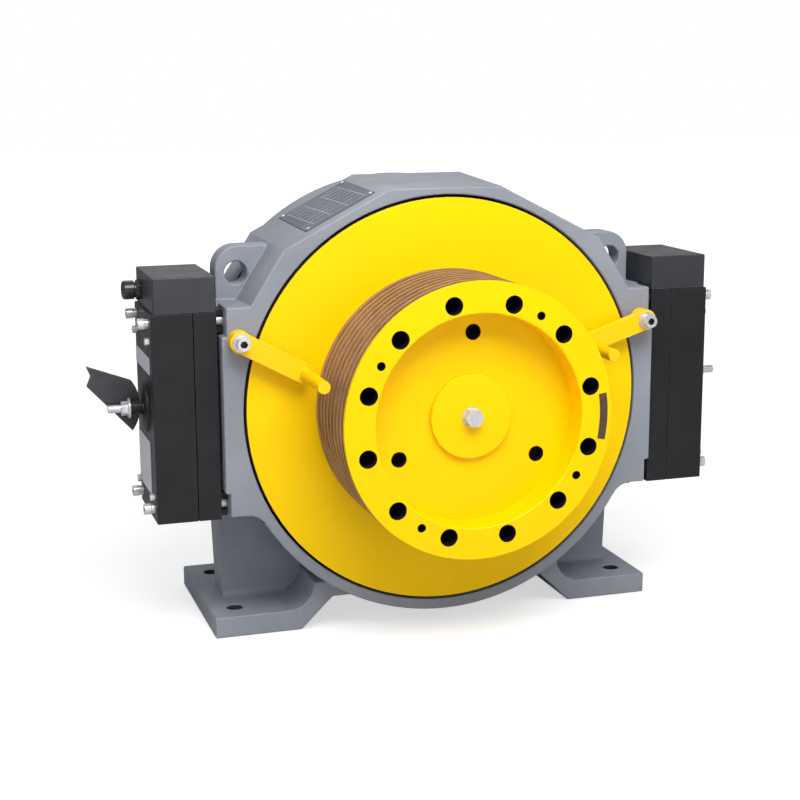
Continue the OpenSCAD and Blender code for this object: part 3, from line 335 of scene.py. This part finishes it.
# workshop dust on what faces up
tree, start, end = shader_group("settled_dust", [("Amount", "Float", 0.3)], [("Mask", "Float")])
where = part_of(tree, "TexCoord").outputs["Object"]
facing = part_of(tree, "SeparateXYZ",
                 Vector=part_of(tree, "NewGeometry").outputs["Normal"]).outputs["Z"]
lying = spread(tree, facing, 0.55, 1.0)
drift = spread(tree, noise(tree, where, 26.0, 5.0, 0.65), 0.35, 0.7)
settled = worked_out(tree, "MULTIPLY", lying, drift)
tree.links.new(worked_out(tree, "MULTIPLY", settled, start["Amount"]), end["Mask"])


def group_in(tree, name, **values):
    """Places a shader group in a material, with its own values."""
    made = tree.nodes.new("ShaderNodeGroup")
    made.node_tree = bpy.data.node_groups[name]
    for key, value in values.items():
        made.inputs[key.replace("_", " ")].default_value = value
    return made.outputs[0]


dust_grey = (0.42, 0.41, 0.39)


def coated(name, shade, other, scale, gloss, relief,
           metal=0.0, coat=0.0, shine=0.5, bare=None, worn=0.0, dust=0.0):
    """A material of two shades with patchy gloss, a relief, worn corners and dust.

    The relief is a shader group, its input, that input's value, and a strength and depth.
    """
    material = bpy.data.materials.new(name)
    material.use_nodes = True
    tree = material.node_tree
    skin = tree.nodes["Principled BSDF"]
    skin.inputs["Metallic"].default_value = metal
    skin.inputs["Coat Weight"].default_value = coat
    skin.inputs["Coat Roughness"].default_value = 0.12
    skin.inputs["Specular IOR Level"].default_value = shine
    colour = group_in(tree, "shade_patches", Shade=(*shade, 1), Other_Shade=(*other, 1),
                      Scale=scale)
    if worn:
        mask = group_in(tree, "worn_corners", Amount=worn)
        colour = part_of(tree, "Mix", {"data_type": "RGBA"}, i0=mask, i6=colour,
                         i7=(*bare, 1)).outputs[2]
    if dust:
        mask = group_in(tree, "settled_dust", Amount=dust)
        colour = part_of(tree, "Mix", {"data_type": "RGBA"}, i0=mask, i6=colour,
                         i7=(*dust_grey, 1)).outputs[2]
    tree.links.new(colour, skin.inputs["Base Color"])
    tree.links.new(group_in(tree, "gloss_patches", Low=gloss[0], High=gloss[1]),
                   skin.inputs["Roughness"])
    group, key, value, strength, depth = relief
    raised = part_of(tree, "Bump", Strength=strength, Distance=depth,
                     Height=group_in(tree, group, **{key: value}))
    tree.links.new(raised.outputs[0], skin.inputs["Normal"])
    return material


housing_grey = coated("housing_grey", (0.275, 0.293, 0.33), (0.225, 0.243, 0.278),
                      7.0, (0.42, 0.56),
                      ("sand_cast_skin", "Grain", 420.0, 0.25, 0.0005), shine=0.25,
                      bare=(0.42, 0.44, 0.47), worn=0.5)


leg_inner, leg_outer, leg_top = 0.21, 0.33, 0.2
leg_front, leg_front_end = -0.055, -0.033


def off_the_legs(edge):
    """False for the front corners of the legs, which run out into the feet."""
    middle = (edge.verts[0].co + edge.verts[1].co) / 2
    return not (leg_inner < abs(middle.x) < leg_outer
                and leg_front < middle.y < leg_front_end and middle.z < leg_top)


casting = shaped("housing", "housing_casting", 0.0026, housing_grey, steps=3,
                 pick=off_the_legs)
just_under_foot_top = 0.031
bolt_pattern = next(mount["dims"] for mount in frame["record"]["mounts"]
                    if mount["name"] == "foot_bolts")
bolt_x, bolt_y, bolt_hole_radius = (bolt_pattern[key] * share / 1000 for key, share in (
    ("spacing_x_mm", 0.5), ("spacing_y_mm", 0.5), ("hole_r_mm", 1)))
# near black for the walls of the bolt holes in the feet: painted shade for the dark inside of
# the holes
foot_hole_shade = coated("foot_hole_shade", (0.05, 0.05, 0.055), (0.03, 0.03, 0.034),
                      60.0, (0.5, 0.7),
                      ("lathe_rings", "Rings", 1500.0, 0.3, 0.0002), shine=0.2)
repainted(casting, foot_hole_shade, lambda at, normal: at.z < just_under_foot_top
          and hypot(abs(at.x) - bolt_x, abs(at.y) - bolt_y) < bolt_hole_radius + 0.0002)


# ---- Motor inside ----
# Stator with laminated core and varnished copper coils, pressed on the ring of the casting.
# The magnets are glued round the inside of the drum that turns over it.
def dressed(node, material):
    """Gives a CAD node that stays as it is a material on its slot."""
    mesh = frame["nodes"][node].data
    mesh.materials.clear()
    mesh.materials.append(material)


laminated = coated("laminated_steel", (0.30, 0.31, 0.33), (0.22, 0.23, 0.25),
                   30.0, (0.35, 0.55),
                   ("lathe_rings", "Rings", 2400.0, 0.5, 0.0003), metal=0.7)
copper_wire = coated("varnished_copper", (0.55, 0.22, 0.09), (0.42, 0.15, 0.06),
                     60.0, (0.2, 0.35),
                     ("lathe_rings", "Rings", 1500.0, 0.6, 0.0006), metal=0.8, coat=0.4)
for node in ("stator_core", "rotor_magnets"):
    dressed(node, laminated)
for node in ("stator_windings", "left_brake_coils", "right_brake_coils"):
    dressed(node, copper_wire)


# ---- Shaft and bearings ----
# Ground steel shaft in a deep-groove bearing at each end, with a black lip seal behind the
# disc and a lock nut at the rear. Springs, linings and terminal block share the finishes.
ground_steel = coated("ground_steel", (0.56, 0.56, 0.57), (0.48, 0.48, 0.50), 40.0, (0.18, 0.3),
                      ("lathe_rings", "Rings", 3000.0, 0.25, 0.0001), metal=1.0)
# black oxide steel for the key, nut, springs and sheave screws; the same colour is painted into
# screw sockets as painted shade
black_oxide_and_socket_shade = coated("black_oxide_and_socket_shade", (0.045, 0.045, 0.048), (0.03, 0.03, 0.033),
                     60.0, (0.32, 0.5),
                     ("spray_ripple", "Ripple", 900.0, 0.2, 0.0002), metal=0.6)
moulded_black = coated("moulded_black", (0.018, 0.018, 0.02), (0.012, 0.012, 0.013),
                       50.0, (0.22, 0.34),
                       ("spray_ripple", "Ripple", 1200.0, 0.12, 0.0002), coat=0.25, dust=0.12)
friction = coated("friction_material", (0.09, 0.06, 0.045), (0.13, 0.09, 0.06),
                  160.0, (0.7, 0.85),
                  ("sand_cast_skin", "Grain", 900.0, 0.5, 0.0005))
for node in ("main_shaft", "front_bearing_outer_ring", "rear_bearing_outer_ring",
             "front_bearing_inner_ring", "front_bearing_balls",
             "rear_bearing_inner_ring", "rear_bearing_balls"):
    dressed(node, ground_steel)
for node in ("shaft_key", "bearing_lock_nut", "left_brake_springs", "right_brake_springs"):
    dressed(node, black_oxide_and_socket_shade)
for node in ("shaft_seal", "encoder"):
    dressed(node, moulded_black)
for node in ("left_brake_lining", "right_brake_lining", "terminal_block"):
    dressed(node, friction)


# ---- Rotor drum ----
# A turned iron drum over the stator, whose flat front disc fills the ring of the casting.
# The brake shoes press on its rim; the disc is sprayed gloss yellow.
rotor_yellow = coated("rotor_yellow", (0.98, 0.63, 0.0), (0.97, 0.60, 0.0), 4.0, (0.3, 0.38),
                      ("spray_ripple", "Ripple", 170.0, 0.07, 0.0003), shine=0.12)
bare_drum = coated("bare_drum_iron", (0.36, 0.35, 0.34), (0.28, 0.27, 0.26), 30.0, (0.3, 0.42),
                   ("lathe_rings", "Rings", 1800.0, 0.4, 0.0002), metal=0.9)
drum = shaped("rotor_drum", "rotor_disc_and_drum", 0.0012, rotor_yellow, steps=2)
drum_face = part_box("rotor_drum")[0].y
painted_depth = 0.0035
repainted(drum, bare_drum, lambda at, normal: at.y > drum_face + painted_depth)


# ---- Traction sheave ----
# Cast iron sheave with eight undercut rope grooves, bolted to the drum by twelve screws deep
# in their wells. The front is sprayed yellow; the grooved rim stays bare and rusts lightly.
sheave_low, sheave_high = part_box("traction_sheave")
sheave_radius = (sheave_high.x - sheave_low.x) / 2
sheave_front = sheave_low.y
sheave_yellow = coated("sheave_yellow", (0.98, 0.62, 0.0), (0.97, 0.59, 0.0), 6.0, (0.28, 0.38),
                       ("lathe_rings", "Rings", 700.0, 0.10, 0.00025), shine=0.12)
rim_iron = coated("bare_rim_iron", (0.46, 0.28, 0.17), (0.33, 0.19, 0.11), 26.0, (0.38, 0.55),
                  ("lathe_rings", "Rings", 2600.0, 0.5, 0.0002), metal=0.35)
# near black painted shade for the insides of the screw wells and of the holes in the web
well_shade_black = coated("painted_shade_in_wells", (0.02, 0.018, 0.014), (0.012, 0.011, 0.010), 70.0, (0.4, 0.6),
                    ("spray_ripple", "Ripple", 600.0, 0.2, 0.0003), metal=0.3)


# depths measured inwards from the outside of the sheave, and back from its front
web_edge, groove_bottom, wells_inner, wells_outer = 0.06, 0.0185, 0.0452, 0.0155
painted_rim, well_mouth, web_depth, web_hole_mouth = 0.0055, 0.0016, 0.047, 0.0014


def from_shaft(at):
    """How far a point lies from the shaft's axis."""
    return hypot(at.x, at.z - shaft_height)


def front_or_web_edge(edge):
    """True for the edges of the flat front of the rim and of the recessed web."""
    middle = (edge.verts[0].co + edge.verts[1].co) / 2
    return (middle.y < sheave_front + 0.003
            or from_shaft(middle) < sheave_radius - web_edge)


sheave = shaped("traction_sheave", "grooved_sheave", 0.0008, sheave_yellow, steps=2, sharp=34,
                pick=front_or_web_edge)
repainted(sheave, rim_iron, lambda at, normal: at.y > sheave_front + painted_rim
          and from_shaft(at) > sheave_radius - groove_bottom)
# the walls of the screw wells are painted near black, painted shade for their dark inside
repainted(sheave, well_shade_black, lambda at, normal: at.y > sheave_front + well_mouth
          and sheave_radius - wells_inner < from_shaft(at) < sheave_radius - wells_outer)
web_front = sheave_front + web_depth
# the walls of the holes in the recessed web get the same painted shade
repainted(sheave, well_shade_black, lambda at, normal: at.y > web_front + web_hole_mouth
          and from_shaft(at) < sheave_radius - web_edge)
shaped("sheave_bolts", "sheave_screws", 0.0005, black_oxide_and_socket_shade, steps=1)
shaped("shaft_end_plate", "shaft_end_disc", 0.0012, sheave_yellow, steps=3)
mark_brown = coated("marked_strip_iron", (0.115, 0.072, 0.045), (0.075, 0.048, 0.032),
                    120.0, (0.5, 0.7),
                    ("sand_cast_skin", "Grain", 1500.0, 0.5, 0.0003), metal=0.4)
shaped("sheave_mark_strip", "sheave_mark_strip_plate", 0.00015, mark_brown, steps=1)


# ---- Shaft end bolt ----
# Zinc plated hexagon bolt that holds the end disc and with it the sheave on the shaft.
zinc = coated("zinc_plate", (0.74, 0.74, 0.75), (0.62, 0.62, 0.64), 90.0, (0.24, 0.4),
              ("spray_ripple", "Ripple", 1400.0, 0.15, 0.0002), metal=0.65)
shaped("shaft_end_bolt", "shaft_end_hexagon_bolt", 0.0009, zinc, steps=2)


def dark_sockets(piece, axis, material):
    """Blackens the sockets of screws along axis 0, heads outwards, or 1, heads in front, as
    painted shade inside the sockets.
    """
    socket_skin, socket_share = 0.0004, 0.8
    across = [i for i in range(3) if i != axis]
    bm = bmesh.new()
    bm.from_mesh(piece.data)
    bm.faces.ensure_lookup_table()
    piece.data.materials.append(material)
    new_slot = len(piece.data.materials) - 1
    waiting = set(bm.faces)
    while waiting:
        island, to_visit = set(), [waiting.pop()]
        while to_visit:
            face = to_visit.pop()
            island.add(face)
            near = {other for edge in face.edges for other in edge.link_faces} & waiting
            waiting -= near
            to_visit.extend(near)
        points = {vert for face in island for vert in face.verts}
        middle = [(min(p.co[i] for p in points) + max(p.co[i] for p in points)) / 2
                  for i in across]
        outward = 1 if axis == 0 and min(p.co.x for p in points) > 0 else -1
        head_end = max(p.co[axis] * outward for p in points)

        def off_axis(p):
            return hypot(p.co[across[0]] - middle[0], p.co[across[1]] - middle[1])

        head_radius = max(off_axis(p) for p in points)
        for face in island:
            depth = head_end - face.calc_center_median()[axis] * outward
            if (socket_skin < depth < head_radius
                    and max(off_axis(p) for p in face.verts) < socket_share * head_radius):
                piece.data.polygons[face.index].material_index = new_slot
    bm.free()


# ---- Block brakes ----
# On each side a magnet yoke with an armature and shoe, held off the casting by four long
# screws in hollow sleeves. Steel blocks with sawn and milled faces in satin black.
brake_black = coated("brake_black", (0.0125, 0.0125, 0.0150), (0.0090, 0.0090, 0.0110),
                     22.0, (0.36, 0.5),
                     ("sand_cast_skin", "Grain", 800.0, 0.16, 0.0003), shine=0.3,
                     bare=(0.10, 0.10, 0.105), worn=0.5, dust=0.08)
for side in ("left", "right"):
    shaped(side + "_brake_yoke", side + "_magnet_yoke", 0.0016, brake_black, steps=3)
    shaped(side + "_brake_armature", side + "_brake_shoe_block", 0.0012, brake_black, steps=2)
shaped("brake_spacer_lugs", "brake_corner_lugs", 0.0007, brake_black, steps=2)
long_screws = shaped("brake_mounting_screws", "brake_long_screws", 0.0006, zinc, steps=2)
# the hex sockets of the long screws get painted shade
dark_sockets(long_screws, 0, black_oxide_and_socket_shade)
shaped("brake_hollow_sleeves", "brake_spacer_sleeves", 0.0005, zinc, steps=2)


# ---- Junction covers ----
# A bent and welded sheet steel cover on top of each yoke, for the coil leads, in satin dark
# grey, with four pan-head screws and a moulded cable gland on its outer face.
cover_black = coated("cover_dark_grey", (0.036, 0.038, 0.045), (0.027, 0.028, 0.034),
                     16.0, (0.3, 0.42),
                     ("spray_ripple", "Ripple", 420.0, 0.14, 0.0003), shine=0.4,
                     bare=(0.13, 0.13, 0.14), worn=0.4, dust=0.08)
collar = 0.0015
rim_round, rim_reach, rim_inner = 0.0042, 0.0005, 0.010
for side in ("left", "right"):
    cover_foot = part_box(side + "_junction_cover")[0].z + collar
    shaped(side + "_junction_cover", side + "_terminal_cover", 0.0022, cover_black, steps=3,
           pick=lambda edge: max(vert.co.z for vert in edge.verts) > cover_foot)
    gland_low, gland_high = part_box(side + "_cable_gland")
    gland_end = gland_low.x if side == "left" else gland_high.x
    gland_middle = (gland_low + gland_high) / 2

    def nut_rim(edge):
        """True for the outer edge of the free end of the gland nut."""
        return all(abs(vert.co.x - gland_end) < rim_reach
                   and hypot(vert.co.y - gland_middle.y, vert.co.z - gland_middle.z) > rim_inner
                   for vert in edge.verts)

    gland = rounded(taken_from(side + "_cable_gland", side + "_gland_nut"), rim_round,
                    steps=5, pick=nut_rim)
    finished(rounded(gland, 0.0007, sharp=42), side + "_cable_gland", moulded_black)
shaped("brake_cover_screws", "junction_cover_screws", 0.0005, zinc, steps=2)


# ---- Brake labels ----
# Two blank adhesive film labels on the outer face of the left yoke.
label_film = coated("label_film", (0.62, 0.65, 0.69), (0.54, 0.57, 0.62), 18.0, (0.3, 0.45),
                    ("spray_ripple", "Ripple", 300.0, 0.06, 0.0002))
shaped("left_brake_labels", "left_blank_labels", 0.0002, label_film, steps=1)


# ---- Hand release ----
# A flat steel lever with a cam edge on a bracket of the left armature; turning it draws the
# shoe off the drum. The threaded stud and its nut set the travel.
for side in ("left", "right"):
    shaped(side + "_release_stud", side + "_release_screw", 0.0008, zinc, steps=2)
    shaped(side + "_release_nut", side + "_release_lock_nut", 0.0008, zinc, steps=2)
shaped("left_lever_pivot", "left_lever_bracket", 0.0008, brake_black, steps=2)
lever_black = coated("lever_dark_steel", (0.050, 0.052, 0.058), (0.034, 0.036, 0.042),
                     24.0, (0.3, 0.46),
                     ("spray_ripple", "Ripple", 500.0, 0.2, 0.0003), metal=0.2,
                     bare=(0.25, 0.25, 0.26), worn=0.7, dust=0.08)
shaped("left_release_lever", "left_hand_lever", 0.001, lever_black, steps=2)


# ---- Rope guards ----
# Two swivelling arms with a rod along the sheave that keep the ropes in their grooves.
# Flat steel with a welded rod, sprayed yellow, each on a zinc plated socket screw.
guard_yellow = coated("guard_yellow", (0.98, 0.60, 0.0), (0.97, 0.57, 0.0), 12.0, (0.28, 0.38),
                      ("spray_ripple", "Ripple", 320.0, 0.12, 0.0003), shine=0.3)
for side in ("left", "right"):
    shaped(side + "_rope_guard", side + "_guard_arm_and_rod", 0.0012, guard_yellow, steps=3)
guard_screws = shaped("guard_bolts", "guard_socket_screws", 0.0006, zinc, steps=2)
# the hex sockets of the guard screws get painted shade
dark_sockets(guard_screws, 1, black_oxide_and_socket_shade)
shaped("guard_washers", "guard_flat_washers", 0.0003, zinc, steps=2)


# ---- Nameplate ----
# A thin anodised plate with a printed table, left blank, riveted to the left slope of the
# casting by four round-head rivets.
plate_metal = coated("anodised_plate", (0.135, 0.145, 0.165), (0.095, 0.103, 0.120),
                     30.0, (0.45, 0.6),
                     ("spray_ripple", "Ripple", 900.0, 0.08, 0.0001), shine=0.3)
plate = shaped("nameplate", "blank_nameplate", 0.0002, plate_metal, steps=1)
shaped("nameplate_rivets", "nameplate_round_rivets", 0.0009, zinc, steps=3)
printed_line = coated("printed_line", (0.60, 0.62, 0.65), (0.48, 0.50, 0.53), 60.0, (0.4, 0.5),
                      ("spray_ripple", "Ripple", 900.0, 0.05, 0.0001))
top_face = max(plate.data.polygons, key=lambda face: face.area * (face.normal.z > 0.3))
corners = [plate.data.vertices[i].co.copy() for i in top_face.vertices]
# the plate's corners by how far forward they lie, and in that by how far to the left
near_low = min(corners, key=lambda c: c.y * 2 + c.x)
near_high = min(corners, key=lambda c: c.y * 2 - c.x)
far_low = max(corners, key=lambda c: c.y * 2 - c.x)
across = near_high - near_low
deep = far_low - near_low
outwards = top_face.normal.copy()
line_points, line_faces = [], []
line_bottom, line_top, line_width = 0.00002, 0.0001, 0.0007


def ruled(u0, u1, v0, v1):
    """A printed bar on the plate, between two shares of its width and of its depth."""
    base = len(line_points)
    for lift in (line_bottom, line_top):
        for u, v in ((u0, v0), (u1, v0), (u1, v1), (u0, v1)):
            line_points.append(near_low + across * u + deep * v + outwards * lift)
    box_faces = ((4, 5, 6, 7), (0, 1, 5, 4), (1, 2, 6, 5), (2, 3, 7, 6), (3, 0, 4, 7),
                 (3, 2, 1, 0))
    line_faces.extend(tuple(base + corner for corner in face) for face in box_faces)


thin_u, thin_v = line_width / across.length, line_width / deep.length
for v in (0.08, 0.22, 0.34, 0.46, 0.58, 0.70, 0.82, 0.92):
    ruled(0.10, 0.90, v, v + thin_v)
for u in (0.10, 0.36, 0.62, 0.90 - thin_u):
    ruled(u, u + thin_u, 0.08, 0.92)
table_lines = clean_mesh("nameplate_blank_table", line_points, line_faces)
finished(table_lines, "nameplate", printed_line)


# ---- Rear side ----
# Turned bearing cover, encoder under a deep drawn cap, and the terminal box for the motor
# and encoder leads, all screwed to the rear wall of the casting.
box_grey = coated("box_grey", (0.275, 0.293, 0.33), (0.235, 0.253, 0.288), 9.0, (0.38, 0.5),
                  ("spray_ripple", "Ripple", 260.0, 0.14, 0.0004), shine=0.3,
                  bare=(0.42, 0.44, 0.47), worn=0.4)
shaped("rear_bearing_cover", "rear_bearing_cap", 0.0012, box_grey, steps=2)
shaped("rear_cover_screws", "rear_cap_screws", 0.0006, zinc, steps=2)
shaped("encoder_cover", "encoder_cap", 0.0016, cover_black, steps=3)
shaped("terminal_box", "motor_terminal_box", 0.001, box_grey, steps=2)
shaped("terminal_box_lid", "motor_terminal_lid", 0.0012, box_grey, steps=2)
shaped("terminal_box_glands", "terminal_box_gland_nuts", 0.0009, moulded_black, steps=2)
shaped("small_cover_screws", "small_pan_head_screws", 0.0005, zinc, steps=2)
